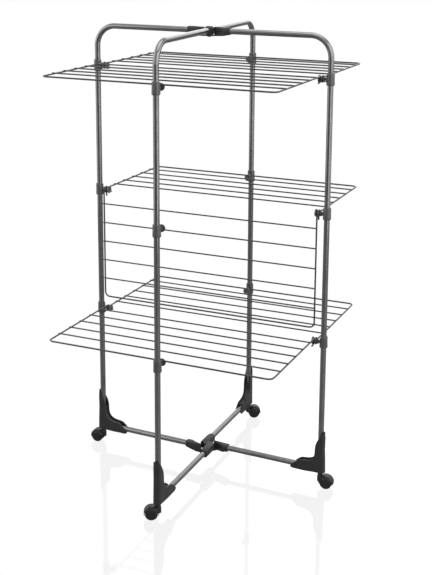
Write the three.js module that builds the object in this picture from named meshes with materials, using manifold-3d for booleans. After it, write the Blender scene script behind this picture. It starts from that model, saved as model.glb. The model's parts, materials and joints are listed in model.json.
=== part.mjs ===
// Folding tower airer: two tube arches crossed on a vertical pivot, on casters, with six
// wire wings on three levels. Millimetres, +Z up, origin on the floor under the pivot.
import * as THREE from 'three';
import { mergeVertices } from 'three/addons/utils/BufferGeometryUtils.js';
import Module from 'manifold-3d';

const wasm = await Module();
wasm.setup();

// Arches: both alike, crossing as a scissor about +Z.
const legSpacing = 840; // between the two leg axes of one arch
const topBarHeight = 1530; // axis of the top bars above the floor
const baseBarHeight = 66; // axis of the base bars above the floor
const bendRadius = 68; // of the tube axis
const tubeDiameter = 19;
const tubeWall = 0.9;
const crossingAngle = 87.7; // between the arches when the tower stands open
const hubOffset = 13.5; // pivot to the axis of each base bar, which passes beside it
const foldTurn = 60; // how far the second arch turns to fold

// Levels of the spool axes.
const topLevelDrop = 136; // below the axis of the top bars
const levelPitch = 437;

// Clearances.
const fitGap = 0.3; // between pieces that seat on or in each other
const swingGap = 0.5; // between pieces that swing past each other
const hookPlay = 1.2; // between a wing rod and the flange beside it

// Clips: a sleeve on the leg with a spool toward the middle of the arch.
const clipDiameter = 26;
const clipHeight = 40;
const clipScallop = 9; // how far the top edge dips above the spool
const clipFlare = 5; // height of the tapered bottom edge
const clipTaper = 2; // how far that edge draws in
const clipBelly = 1; // how much wider the sleeve is above that edge
const spoolShaft = 9;
const spoolFlange = 25;
const middleFlangeAt = 24.5; // leg axis to the flange between the two grooves
const middleFlange = 3;
const endFlangeAt = 35.5; // leg axis to the end flange
const endFlange = 4;
const restFlangeAt = 32.8; // the same on the spools that only carry the outer rods
const restFlange = 4.7;
const spoolSides = 8;

// Wings.
const rodDiameter = 5; // U-shaped outer rod
const wireDiameter = 4; // inner wires
const wireSpacing = 68;
const wiresPerWing = 5;
const cornerRadius = 24;
const wireOverhang = 3; // wire end past the side rod
const weldDepth = 0.6; // how far a wire sinks into the side rod
const hookTail = 25; // length of the flared hook end
const hookFlare = 4; // how far the tail leans away from the rod

// Couplings of the first arch reach round the second arch on one side of each arm.
const couplingSize = 24; // width and height of the socket ends
const couplingReach = 74; // pivot to a socket mouth
const couplingTubeStart = 60.5; // pivot to a tube end
const webThickness = 9; // of the arm between socket and bridge
const couplingChamfer = 5.5;
const topBridge = 4; // thickness of the bridge under the top block
const hubBridge = 6; // thickness of the bridge under the base hub

// Couplings of the second arch turn on the bridges.
const blockLength = 34;
const blockWidth = 26;
const blockHeight = 28;
const blockTubeStart = 6;
const blockChamfer = 7;
const crossReach = 66; // pivot to a socket mouth of the base hub
const crossOverlap = 4; // how far each of its arms passes the pivot
const crossSize = 25;
const crossTubeStart = 20;
const crossHub = 28; // diameter of the barrel that joins its arms
const collarLip = 1.2; // raised rim at a socket mouth
const collarLength = 4;
const bossDiameter = 18;

// Pivot pins.
const pinDiameter = 6;
const pinHeadDiameter = 14;
const pinHead = 2.5;
const pinRise = 5.5; // tip above the bar axis

// Corner brackets: two plates with a web, round the foot of a leg and along the base bar.
const bracketWall = 3.2;
const bracketTip = 136; // above the bar axis
const bracketLength = 105; // leg axis to the end on the bar
const bracketWidth = 17; // leg axis to the inner edge beside the leg
const bracketFoot = 17.5; // leg axis to the back edge at the foot
const bracketWaist = 15; // leg axis to the back edge at half height
const bracketDrop = 12; // bar axis to the underside
const bracketFloor = 3; // underside to the end of the leg
const webInset = 5; // inner edge to the web between the plates
const notchDepth = 2;
const plugHeight = 24; // caster socket inside the leg

// Casters.
const wheelDiameter = 42;
const wheelWidth = 12;
const wheelRim = 5; // width of the raised edge of a wheel's face
const wheelDish = 3; // depth of the face inside that edge
const wheelRound = 2; // chamfers of the rim
const wheelSides = 12;
const trail = 22; // swivel axis to wheel axis
const hoodThickness = 2.5;
const hoodGap = 1.5;
const forkWidth = 9;
const swivelNeck = 17;
const stemDiameter = 8;
const axleDiameter = 5;
const axleSeat = 7; // depth of the axle bore in a wheel
const casterTurns = { a: 184, b: 114.7 }; // trail direction from the inward direction of the bar

// Values worked out from the above.
const halfSpan = legSpacing / 2;
const tubeRadius = tubeDiameter / 2;
const socketRadius = tubeRadius + fitGap;
const channelHalf = socketRadius + bracketWall;
const clipRadius = clipDiameter / 2;
const rodRadius = rodDiameter / 2;
const wireRadius = wireDiameter / 2;
const outerHook = middleFlangeAt - hookPlay - rodRadius; // leg axis to the hook beside the sleeve
const innerHook = endFlangeAt - hookPlay - rodRadius;
const restHook = restFlangeAt - hookPlay - rodRadius;
const wingWidth = legSpacing - outerHook - innerHook; // between the side rods
const wingDepth = (halfSpan - restHook) * Math.sin(THREE.MathUtils.degToRad(crossingAngle));
const hookRadius = spoolShaft / 2 + rodRadius + fitGap;
const wireRise = hookRadius + rodRadius + wireRadius - weldDepth;
const underside = baseBarHeight - bracketDrop;
const legFoot = underside + bracketFloor + fitGap;
const openTurn = 180 - crossingAngle; // turn of the second arch from the first
const folded = THREE.MathUtils.degToRad(crossingAngle - foldTurn); // between the folded arches
const barTilt = Math.asin(hubOffset / halfSpan); // of a base bar from the plane of its arch
const barSpan = halfSpan * Math.cos(barTilt); // leg to the place where its bar passes the pivot
const wheelRadius = wheelDiameter / 2;
const hoodInside = wheelRadius + hoodGap;
const hoodRadius = hoodInside + hoodThickness;
const neckTop = underside - fitGap;
const stemFoot = wheelRadius + hoodThickness;
const topLevel = topBarHeight - topLevelDrop;
const levels = { low: topLevel - 2 * levelPitch, mid: topLevel - levelPitch, top: topLevel };

const satinPaint = { color: 0x58585c, roughness: 0.4, metalness: 0.3 };
const wirePaint = { color: 0x434346, roughness: 0.45, metalness: 0.2 };
const darkPlastic = { color: 0x2c2c2e, roughness: 0.55, metalness: 0 };
const blackPlastic = { color: 0x222224, roughness: 0.4, metalness: 0 };
const platedSteel = { color: 0xa4a4a6, roughness: 0.35, metalness: 1 };

// A three.js geometry as a solid that can be joined and cut, and back again.
function toSolid(geometry) {
  const bare = geometry.clone();
  bare.deleteAttribute('normal');
  bare.deleteAttribute('uv');
  const merged = mergeVertices(bare, 1e-4);
  const vertProperties = new Float32Array(merged.attributes.position.array);
  const triVerts = new Uint32Array(merged.index.array);
  return new wasm.Manifold(new wasm.Mesh({ numProp: 3, vertProperties, triVerts }));
}

function toGeometry(solid) {
  const { vertProperties, triVerts } = solid.getMesh();
  const geometry = new THREE.BufferGeometry();
  geometry.setAttribute('position', new THREE.BufferAttribute(vertProperties, 3));
  geometry.setIndex(new THREE.BufferAttribute(triVerts, 1));
  return geometry;
}

function join(...geometries) {
  return toGeometry(geometries.map(toSolid).reduce((whole, solid) => whole.add(solid)));
}

function cut(geometry, ...tools) {
  return toGeometry(tools.map(toSolid).reduce((whole, solid) => whole.subtract(solid), toSolid(geometry)));
}

function common(...geometries) {
  return toGeometry(geometries.map(toSolid).reduce((whole, solid) => whole.intersect(solid)));
}

// The corner radius of a regular bore whose flats keep the wanted radius.
function overFlats(radius, sides) {
  return radius / Math.cos(Math.PI / sides);
}

// Geometry made about +Y, laid along X, Y or Z.
function layAlong(axis, geometry) {
  if (axis === 'x') geometry.rotateZ(-Math.PI / 2);
  if (axis === 'z') geometry.rotateX(Math.PI / 2);
  return geometry;
}

function rod(axis, radius, from, to, sides) {
  const geometry = new THREE.CylinderGeometry(radius, radius, to - from, sides);
  return layAlong(axis, geometry.translate(0, (from + to) / 2, 0));
}

function bore(axis, radius, from, to, sides) {
  return rod(axis, overFlats(radius, sides), from, to, sides);
}

// A profile of [radius, station] pairs turned about an axis.
function turned(axis, profile, sides) {
  const points = profile.map(([radius, station]) => new THREE.Vector2(radius, station));
  return layAlong(axis, new THREE.LatheGeometry(points, sides));
}

function shapeOf(points) {
  return new THREE.Shape(points.map(([x, y]) => new THREE.Vector2(x, y)));
}

// A shape in plan, as thick as the stretch of Z given.
function planPlate(shape, from, to, curveSegments = 4) {
  const options = { depth: to - from, bevelEnabled: false, curveSegments };
  return new THREE.ExtrudeGeometry(shape, options).translate(0, 0, from);
}

// A shape in the plane of an arch, first value along it and second up, centred on that plane.
function sidePlate(shape, width, curveSegments = 4) {
  const options = { depth: width, bevelEnabled: false, curveSegments };
  return new THREE.ExtrudeGeometry(shape, options).translate(0, 0, -width / 2).rotateX(Math.PI / 2);
}

// A path of straights and arcs, with one station per straight and several on each arc.
class BentPath extends THREE.Curve {
  constructor(...pieces) {
    super();
    this.stretches = pieces.flatMap(({ steps, at }) =>
      Array.from({ length: steps }, (_, n) => (share) => at((n + share) / steps)));
  }

  getUtoTmapping(u) {
    return u;
  }

  getPoint(t) {
    const place = t * this.stretches.length;
    const stretch = Math.min(Math.max(Math.floor(place), 0), this.stretches.length - 1);
    return this.stretches[stretch](place - stretch);
  }
}

function straight(from, to) {
  return { steps: 1, at: (share) => new THREE.Vector3().lerpVectors(from, to, share) };
}

// An arc from centre + start through centre + quarter, over the turn given.
function arc(centre, start, quarter, turn, steps) {
  const at = (share) => centre.clone()
    .addScaledVector(start, Math.cos(turn * share))
    .addScaledVector(quarter, Math.sin(turn * share));
  return { steps, at };
}

function regular(radius, sides) {
  return Array.from({ length: sides }, (_, n) => {
    const turn = (2 * Math.PI * (n + 0.5)) / sides;
    return [radius * Math.cos(turn), radius * Math.sin(turn)];
  });
}

function sweep(path, radius, wall, sides) {
  const section = shapeOf(regular(radius, sides));
  if (wall > 0) section.holes.push(shapeOf(regular(radius - wall, sides)));
  const options = { extrudePath: path, steps: path.stretches.length, bevelEnabled: false };
  return new THREE.ExtrudeGeometry(section, options);
}

const tubeSides = 12;
const shaftSides = 8;

// Leg, bend and half of the top bar of an arch, with the leg at -X.
function archTube(innerEnd) {
  const bend = new THREE.Vector3(bendRadius - halfSpan, 0, topBarHeight - bendRadius);
  const outward = new THREE.Vector3(-bendRadius, 0, 0);
  const upward = new THREE.Vector3(0, 0, bendRadius);
  const path = new BentPath(
    straight(new THREE.Vector3(-halfSpan, 0, legFoot), bend.clone().add(outward)),
    arc(bend, outward, upward, Math.PI / 2, 6),
    straight(bend.clone().add(upward), new THREE.Vector3(-innerEnd, 0, topBarHeight)),
  );
  return sweep(path, tubeRadius, tubeWall, tubeSides);
}

// Base bar from a leg at the origin toward +X.
function baseTube(innerEnd) {
  const legSide = new THREE.Vector3(socketRadius + fitGap, 0, 0);
  const path = new BentPath(straight(legSide, new THREE.Vector3(barSpan - innerEnd, 0, 0)));
  return sweep(path, tubeRadius, tubeWall, tubeSides);
}

// Clip on a leg at the origin with its spool along +X; flanges are [place, thickness] pairs.
function clip(flanges) {
  const inside = overFlats(socketRadius, tubeSides);
  const half = clipHeight / 2;
  const sleeve = turned('z', [
    [inside, -half],
    [clipRadius - clipTaper, -half],
    [clipRadius + clipBelly, clipFlare - half],
    [clipRadius, half],
    [inside, half],
    [inside, -half],
  ], tubeSides);
  const position = sleeve.attributes.position;
  for (let n = 0; n < position.count; n += 1) {
    const towardSpool = Math.max(0, Math.cos(Math.atan2(position.getY(n), position.getX(n))));
    if (position.getZ(n) > 0) position.setZ(n, half - clipScallop * towardSpool ** 2);
  }
  const shaft = spoolShaft / 2;
  const rim = spoolFlange / 2;
  const root = (clipRadius + inside) / 2;
  const profile = [[0, root], [shaft, root]];
  for (const [place, thickness] of flanges) {
    profile.push([shaft, place], [rim, place], [rim, place + thickness], [shaft, place + thickness]);
  }
  profile.pop();
  const [lastPlace, lastThickness] = flanges.at(-1);
  profile.push([0, lastPlace + lastThickness]);
  return join(sleeve, turned('x', profile, spoolSides));
}

// Raised wing toward -Y: hinge axis on X, hooks over the spools and back under them.
function wing() {
  const half = wingWidth / 2;
  const up = new THREE.Vector3(0, 0, hookRadius);
  const down = new THREE.Vector3(0, 0, -hookRadius);
  const back = new THREE.Vector3(0, hookRadius, 0);
  const front = new THREE.Vector3(0, -cornerRadius, 0);
  const hookSide = (sign) => {
    const centre = new THREE.Vector3(sign * half, 0, 0);
    const tail = new THREE.Vector3(sign * half, -hookTail, -hookRadius - hookFlare);
    const corner = new THREE.Vector3(sign * (half - cornerRadius), cornerRadius - wingDepth, hookRadius);
    const side = new THREE.Vector3(sign * cornerRadius, 0, 0);
    return { centre, tail, corner, side, over: centre.clone().add(up), under: centre.clone().add(down) };
  };
  const left = hookSide(-1);
  const right = hookSide(1);
  const path = new BentPath(
    straight(left.tail, left.under),
    arc(left.centre, down, back, Math.PI, 6),
    straight(left.over, left.corner.clone().add(left.side)),
    arc(left.corner, left.side, front, Math.PI / 2, 3),
    straight(left.corner.clone().add(front), right.corner.clone().add(front)),
    arc(right.corner, front, right.side, Math.PI / 2, 3),
    straight(right.corner.clone().add(right.side), right.over),
    arc(right.centre, up, back, Math.PI, 6),
    straight(right.under, right.tail),
  );
  const reach = half + rodRadius + wireOverhang;
  const wires = Array.from({ length: wiresPerWing }, (_, n) =>
    rod('x', wireRadius, -reach, reach, 6).translate(0, (n + 1) * wireSpacing - wingDepth, wireRise));
  return join(sweep(path, rodRadius, 0, 8), ...wires);
}

// An eight-sided bar along X.
function chamferedBar(reach, halfWidth, bottom, top, chamfer) {
  const section = shapeOf([
    [halfWidth - chamfer, bottom], [halfWidth, bottom + chamfer],
    [halfWidth, top - chamfer], [halfWidth - chamfer, top],
    [chamfer - halfWidth, top], [-halfWidth, top - chamfer],
    [-halfWidth, bottom + chamfer], [chamfer - halfWidth, bottom],
  ]);
  const bar = new THREE.ExtrudeGeometry(section, { depth: 2 * reach, bevelEnabled: false });
  return bar.translate(0, 0, -reach).rotateX(Math.PI / 2).rotateZ(Math.PI / 2);
}

// Bores for the bars from both ends of a coupling, each as far beside the pivot as given.
function tubeSockets(tubeStart, reach, offset) {
  const socket = bore('x', socketRadius, tubeStart - fitGap, reach + 1, tubeSides);
  return bothWays(socket.translate(0, offset, 0));
}

// A geometry and its copy half a turn round the pivot.
function bothWays(geometry) {
  return [geometry, geometry.clone().rotateZ(Math.PI)];
}

function pinBore(from, to) {
  return bore('z', pinDiameter / 2 + fitGap, from, to, tubeSides);
}

// First arch: two sockets whose webs pass on opposite sides of the second arch, joined by a
// bridge under it. turning is the width of the second arch's coupling, which swings between.
function bridgeCoupling({ turning, offset, bridgeTop, bridge }) {
  const half = couplingSize / 2;
  const bottom = -bridgeTop - bridge;
  const socketEnd = couplingTubeStart - bracketWall;
  const outer = offset + half;
  const inner = outer - webThickness;
  // The web ends on the slant along the side of the folded second arch.
  const openSide = turning / 2 + swingGap;
  const slantStart = (offset + openSide - inner * Math.cos(folded)) / Math.sin(folded);
  const slantEnd = (offset + openSide - openSide * Math.sin(folded)) / Math.cos(folded);
  const armPlan = shapeOf([
    [couplingReach, outer], [openSide, outer], [openSide, slantEnd], [slantStart, inner],
    [socketEnd, inner], [socketEnd, offset - half], [couplingReach, offset - half],
  ]);
  const belly = new THREE.Shape();
  belly.moveTo(couplingReach, half);
  belly.lineTo(-1, half);
  belly.lineTo(-1, bottom);
  belly.lineTo(openSide, bottom);
  belly.quadraticCurveTo(socketEnd - openSide / 2, bottom, couplingReach - collarLength, -half);
  belly.lineTo(couplingReach, -half);
  const bar = chamferedBar(couplingReach, half, bottom, half, couplingChamfer).translate(0, offset, 0);
  const profile = sidePlate(belly, couplingSize).translate(0, offset, 0);
  const arm = common(profile, bar, planPlate(armPlan, bottom, half));
  const bridgePlan = shapeOf([
    [slantStart + half, outer], [openSide, outer], [-openSide, openSide - half],
    [-slantStart - half, -outer], [-openSide, -outer], [openSide, half - openSide],
  ]);
  const body = join(...bothWays(arm), planPlate(bridgePlan, bottom, -bridgeTop));
  const sockets = tubeSockets(couplingTubeStart, couplingReach, offset);
  return cut(body, ...sockets, pinBore(bottom - 1, 1 - bridgeTop));
}

// Second arch, top: a faceted block on the bridge.
function topBlock() {
  const half = blockHeight / 2;
  const bar = chamferedBar(blockLength / 2, blockWidth / 2, -half, half, blockChamfer);
  return cut(bar, ...tubeSockets(blockTubeStart, blockLength / 2, 0), pinBore(-half - 1, pinRise + fitGap));
}

// Second arch, base: two arms beside the pivot with collars at their mouths, and the barrel
// between them with its boss on the bridge.
function baseCross() {
  const half = crossSize / 2;
  const bar = chamferedBar((crossReach + crossOverlap) / 2, half, -half, half, couplingChamfer - 1)
    .translate((crossReach - crossOverlap) / 2, hubOffset, 0);
  const collar = rod('x', half + collarLip, crossReach - collarLength, crossReach, tubeSides)
    .translate(0, hubOffset, 0);
  const barrel = rod('z', crossHub / 2, -half, half, tubeSides);
  const boss = rod('z', bossDiameter / 2, -half - collarLip, 1 - half, tubeSides);
  const body = join(...bothWays(bar), ...bothWays(collar), barrel, boss);
  const sockets = tubeSockets(crossTubeStart, crossReach, hubOffset);
  return cut(body, ...sockets, pinBore(-half - collarLip - 1, pinRise + fitGap));
}

function pivotPin(bridgeBottom) {
  const seat = bridgeBottom - fitGap;
  const radius = pinDiameter / 2;
  const rim = pinHeadDiameter / 2;
  return turned('z', [
    [0, seat - pinHead], [rim - 1, seat - pinHead], [rim, seat], [radius, seat], [radius, pinRise], [0, pinRise],
  ], tubeSides);
}

// Corner bracket with its leg at the origin and its bar toward +X; heights from the bar axis.
function cornerBracket() {
  const flank = new THREE.Shape();
  const shoulder = bracketTip - 36; // where the slanted rim has crossed the leg
  const knee = tubeDiameter + webInset; // above the bar, where the inner edge turns along it
  flank.moveTo(-bracketFoot, -bracketDrop);
  flank.lineTo(bracketLength / 3, -bracketDrop);
  flank.lineTo(bracketLength / 3 + 6, -bracketDrop - notchDepth);
  flank.lineTo(bracketLength - 42, -bracketDrop - notchDepth);
  flank.lineTo(bracketLength - 40, -bracketDrop);
  flank.lineTo(bracketLength - 18, -bracketDrop);
  flank.lineTo(bracketLength - 12, -bracketDrop - notchDepth);
  flank.lineTo(bracketLength, -tubeRadius + notchDepth);
  flank.quadraticCurveTo(bracketLength - 14, tubeRadius / 2, bracketLength - 22, tubeRadius + 1);
  flank.quadraticCurveTo(bracketLength - 30, knee - 1, bracketLength - 38, knee - 3);
  flank.bezierCurveTo(bracketLength - 56, knee, bracketWidth + 2, knee + 8, bracketWidth, knee + 32);
  flank.quadraticCurveTo(bracketWidth, shoulder - 12, socketRadius, shoulder);
  flank.quadraticCurveTo(-tubeRadius / 2, bracketTip - 24, 2 - channelHalf, bracketTip);
  flank.lineTo(-channelHalf, bracketTip - 2);
  flank.quadraticCurveTo(-bracketWaist - 1, bracketTip / 2, -bracketFoot, -bracketDrop);
  const plan = new THREE.Shape();
  plan.moveTo(bracketLength, -channelHalf);
  plan.lineTo(bracketLength, channelHalf);
  plan.lineTo(channelHalf - bracketFoot, channelHalf);
  plan.absarc(channelHalf - bracketFoot, 0, channelHalf, Math.PI / 2, Math.PI * 1.5, false);
  const lowest = -bracketDrop - notchDepth;
  const shell = common(sidePlate(flank, 2 * channelHalf), planPlate(plan, lowest, bracketTip));
  // The room between the plates, on the open side of the web.
  const room = new THREE.Shape();
  const webSide = bracketWidth - webInset;
  const webTop = knee - webInset;
  room.moveTo(0, bracketTip + 1);
  room.lineTo(0, bracketTip / 2);
  room.lineTo(webSide, bracketTip / 2 - webSide);
  room.bezierCurveTo(webSide + 1, webTop + 12, webSide + 14, webTop, bracketLength / 2, webTop - 2);
  room.quadraticCurveTo(bracketLength - 34, webTop - 4, bracketLength - 26, socketRadius);
  room.lineTo(bracketLength + 1, 0);
  room.lineTo(bracketLength + 1, bracketTip + 1);
  const legBore = bore('z', socketRadius, bracketFloor - bracketDrop, bracketTip + 1, tubeSides);
  const barBore = bore('x', socketRadius, socketRadius, bracketLength + 1, tubeSides);
  const hollow = cut(shell, sidePlate(room, 2 * socketRadius), legBore, barBore);
  const plugTop = bracketFloor - bracketDrop + plugHeight;
  const plug = rod('z', tubeRadius - tubeWall - fitGap, -bracketDrop + 1, plugTop, tubeSides);
  const stemBore = bore('z', stemDiameter / 2 + fitGap, lowest - 1, plugTop + 1, tubeSides);
  return cut(join(hollow, plug), stemBore);
}

// Half ring over the wheels, in the plane of rolling, with flat cut ends at axle height.
function fender(outer, inner) {
  const shape = new THREE.Shape();
  shape.absarc(0, 0, outer, 0, Math.PI, false);
  shape.lineTo(-inner, 0);
  if (inner > 0) shape.absarc(0, 0, inner, Math.PI, 0, true);
  shape.closePath();
  return shape;
}

const wheelInner = forkWidth / 2 + swingGap; // middle of the caster to a wheel
const wheelOuter = wheelInner + wheelWidth;

// Caster housing with its swivel axis at the origin and its wheels toward +X.
function casterHousing() {
  const hood = sidePlate(fender(hoodRadius, hoodInside), 2 * wheelOuter, 6);
  const fork = sidePlate(fender(hoodInside + 1, 0), forkWidth, 6);
  const axleBoss = rod('y', axleDiameter + 1, -forkWidth / 2, forkWidth / 2, tubeSides);
  const overWheels = join(hood, fork, axleBoss).translate(trail, 0, wheelRadius);
  const neck = rod('z', swivelNeck / 2, wheelRadius, neckTop, tubeSides);
  const wheelRoom = (from, to) => bore('y', wheelRadius + hoodGap / 4, from, to, wheelSides)
    .translate(trail, 0, wheelRadius);
  const stemRoom = bore('z', stemDiameter / 2 + fitGap, stemFoot - fitGap, neckTop + 1, tubeSides);
  const axleRoom = bore('y', axleDiameter / 2 + fitGap, -forkWidth, forkWidth, tubeSides)
    .translate(trail, 0, wheelRadius);
  return cut(
    join(overWheels, neck),
    wheelRoom(forkWidth / 2, wheelOuter + 1),
    wheelRoom(-wheelOuter - 1, -forkWidth / 2),
    stemRoom,
    axleRoom,
  );
}

function casterStem() {
  const plugTop = underside + bracketFloor + plugHeight;
  return rod('z', stemDiameter / 2, stemFoot, plugTop, shaftSides);
}

// Wheel about Y with its outer face toward +Y.
function casterWheel() {
  const seat = overFlats(axleDiameter / 2 + fitGap, wheelSides);
  return turned('y', [
    [seat, wheelInner],
    [wheelRadius, wheelInner],
    [wheelRadius, wheelOuter - wheelRound],
    [wheelRadius - wheelRound, wheelOuter],
    [wheelRadius - wheelRim, wheelOuter],
    [wheelRadius - wheelRim - wheelRound, wheelOuter - wheelDish],
    [0, wheelOuter - wheelDish],
    [0, wheelInner + axleSeat],
    [seat, wheelInner + axleSeat],
    [seat, wheelInner],
  ], wheelSides);
}

function casterAxle() {
  const reach = wheelInner + axleSeat - fitGap;
  return rod('y', axleDiameter / 2, -reach, reach, shaftSides);
}

function piece(name, geometry, finish, { x = 0, y = 0, z = 0, turn = 0 } = {}) {
  const mesh = new THREE.Mesh(geometry, new THREE.MeshStandardMaterial(finish));
  mesh.name = name;
  mesh.position.set(x, y, z);
  mesh.rotation.z = turn;
  return mesh;
}

// One end of an arch, with its leg at -X: tubes, clips, bracket and caster.
function archEnd(name, parts) {
  const { topStart, baseStart, flanges, casterTurn } = parts;
  const group = new THREE.Group();
  group.add(piece(`frame_tube_${name}`, archTube(topStart), satinPaint));
  const foot = { x: -halfSpan, z: baseBarHeight, turn: -barTilt };
  group.add(piece(`base_tube_${name}`, baseTube(baseStart), satinPaint, foot));
  group.add(piece(`bracket_${name}`, cornerBracket(), darkPlastic, foot));
  for (const [level, height] of Object.entries(levels)) {
    group.add(piece(`clip_${name}_${level}`, clip(flanges), darkPlastic, { x: -halfSpan, z: height }));
  }
  const caster = new THREE.Group();
  caster.position.x = -halfSpan;
  caster.rotation.z = THREE.MathUtils.degToRad(casterTurn);
  caster.add(piece(`caster_housing_${name}`, casterHousing(), blackPlastic));
  caster.add(piece(`caster_stem_${name}`, casterStem(), platedSteel));
  const onAxle = { x: trail, z: wheelRadius };
  caster.add(piece(`caster_axle_${name}`, casterAxle(), platedSteel, onAxle));
  caster.add(piece(`caster_wheel_${name}_one`, casterWheel(), blackPlastic, onAxle));
  caster.add(piece(`caster_wheel_${name}_two`, casterWheel(), blackPlastic, { ...onAxle, turn: Math.PI }));
  group.add(caster);
  return group;
}

function halfTurned(group) {
  group.rotation.z = Math.PI;
  return group;
}

const tower = new THREE.Group();

const firstArch = new THREE.Group();
const firstEnd = {
  topStart: couplingTubeStart,
  baseStart: couplingTubeStart,
  flanges: [[middleFlangeAt, middleFlange], [endFlangeAt, endFlange]],
  casterTurn: casterTurns.a,
};
const topBridgeTop = blockHeight / 2 + fitGap;
const hubBridgeTop = crossSize / 2 + collarLip + fitGap;
firstArch.add(archEnd('left', firstEnd));
firstArch.add(halfTurned(archEnd('right', firstEnd)));
const topCoupling = bridgeCoupling({
  turning: blockWidth, offset: 0, bridgeTop: topBridgeTop, bridge: topBridge,
});
firstArch.add(piece('top_coupling', topCoupling, darkPlastic, { z: topBarHeight }));
const baseCoupling = bridgeCoupling({
  turning: crossSize, offset: hubOffset, bridgeTop: hubBridgeTop, bridge: hubBridge,
});
const hub = { z: baseBarHeight, turn: -barTilt };
firstArch.add(piece('base_coupling', baseCoupling, darkPlastic, hub));
const topPin = pivotPin(-topBridgeTop - topBridge);
firstArch.add(piece('top_pivot_pin', topPin, platedSteel, { z: topBarHeight }));
const basePin = pivotPin(-hubBridgeTop - hubBridge);
firstArch.add(piece('base_pivot_pin', basePin, platedSteel, { z: baseBarHeight }));
tower.add(firstArch);

const secondArch = new THREE.Group();
secondArch.rotation.z = THREE.MathUtils.degToRad(openTurn);
const secondEnd = {
  topStart: blockTubeStart,
  baseStart: crossTubeStart,
  flanges: [[restFlangeAt, restFlange]],
  casterTurn: casterTurns.b,
};
secondArch.add(archEnd('front', secondEnd));
secondArch.add(halfTurned(archEnd('back', secondEnd)));
secondArch.add(piece('top_block', topBlock(), darkPlastic, { z: topBarHeight }));
secondArch.add(piece('base_cross', baseCross(), darkPlastic, hub));
tower.add(secondArch);

// Wings: the side rod at -X hooks beside the sleeve, the other in the inner groove.
const wingShift = (outerHook - innerHook) / 2;
for (const [level, height] of Object.entries(levels)) {
  const front = piece(`wing_front_${level}`, wing(), wirePaint, { x: wingShift, z: height });
  const back = piece(`wing_back_${level}`, wing(), wirePaint, { x: -wingShift, z: height, turn: Math.PI });
  if (level === 'mid') front.rotation.x = Math.PI / 2; // stored hanging
  tower.add(front, back);
}

export default tower;
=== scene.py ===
# Folding tower airer: two crossed tube arches on casters, with six wire wings.
# Shapes are worked out in millimetres in a leg's own directions: u toward the pivot,
# v across the arch, z up. placeAt() turns them into metres in the frame of the model.
import json
import math

import bmesh
import bpy
import numpy as np
from mathutils import Matrix, Vector


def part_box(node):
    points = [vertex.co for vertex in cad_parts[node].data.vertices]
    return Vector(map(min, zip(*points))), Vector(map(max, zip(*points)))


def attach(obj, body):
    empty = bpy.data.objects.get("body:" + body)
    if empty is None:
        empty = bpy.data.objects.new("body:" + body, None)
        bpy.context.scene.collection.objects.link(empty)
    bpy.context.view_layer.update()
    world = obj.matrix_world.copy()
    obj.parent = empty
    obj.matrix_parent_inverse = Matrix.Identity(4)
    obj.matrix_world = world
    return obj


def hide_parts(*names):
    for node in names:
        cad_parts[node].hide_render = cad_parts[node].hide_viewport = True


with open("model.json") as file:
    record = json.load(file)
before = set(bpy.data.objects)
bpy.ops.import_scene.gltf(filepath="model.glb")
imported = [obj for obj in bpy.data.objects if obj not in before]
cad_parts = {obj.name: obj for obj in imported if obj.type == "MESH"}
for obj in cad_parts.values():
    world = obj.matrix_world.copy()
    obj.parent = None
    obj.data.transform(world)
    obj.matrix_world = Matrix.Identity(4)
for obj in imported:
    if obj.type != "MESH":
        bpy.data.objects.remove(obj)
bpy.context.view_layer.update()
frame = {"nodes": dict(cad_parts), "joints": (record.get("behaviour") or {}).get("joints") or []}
joints = {joint["name"]: joint for joint in frame["joints"]}
archBodies = {"left": "frame_a", "right": "frame_a", "front": "frame_b", "back": "frame_b"}
levelNames = ["low", "mid", "top"]
wingSides = ["front", "back"]
hangingWing = ("front", "mid")
millimetre = 0.001
up = np.array([0.0, 0.0, 1.0])
acrossArch = np.array([0.0, 1.0, 0.0])
print("frame loaded")


# point = foot + u * inward + v * sideways + (z + height) * up, from millimetres to metres.
def placeAt(points, foot, inward, height=0.0):
    axes = np.stack([inward, np.cross(up, inward), up])
    return foot + (np.asarray(points, float) + [0.0, 0.0, height]) * millimetre @ axes


# The lowest and highest u, v and z of a CAD node, in millimetres.
def localBox(node, foot, inward):
    data = frame["nodes"][node].data
    spots = np.empty(len(data.vertices) * 3)
    data.vertices.foreach_get("co", spots)
    axes = np.stack([inward, np.cross(up, inward), up])
    local = (spots.reshape(-1, 3) - foot) @ axes.T / millimetre
    return local.min(0), local.max(0)


# Half way up a CAD node, in millimetres above the floor.
def middleHeight(node):
    low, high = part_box(node)
    return (low.z + high.z) / 2 / millimetre


# A leg's foot on the floor, under its caster's swivel, and the direction to the pivot.
def legPlace(leg):
    foot = np.array(joints[f"{leg}_caster_swivel"]["pos_m"])
    return foot, -foot / np.linalg.norm(foot)


# A direction in plan, turned anticlockwise by an angle in radians.
def planTurned(direction, angle):
    return np.array(Matrix.Rotation(angle, 3, "Z") @ Vector(direction))


legs = {leg: legPlace(leg) for leg in archBodies}
pivot = np.zeros(3)
# Each base bar passes beside the pivot, so it leaves the plane of its arch by a small angle.
hubOffset = 13.5
barTilt = math.asin(hubOffset * millimetre / np.linalg.norm(legs["left"][0]))
bars = {leg: (foot, planTurned(inward, -barTilt)) for leg, (foot, inward) in legs.items()}
archDirections = {"frame_a": legs["left"][1], "frame_b": legs["front"][1]}
hubDirections = {
    body: planTurned(direction, -barTilt) for body, direction in archDirections.items()
}


# The hanging wing's hinge moves on its own, the others follow the fold.
def wingJoint(side, level):
    hanging = (side, level) == hangingWing
    return joints["mid_front_wing" if hanging else f"{level}_{side}_wing"]


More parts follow.
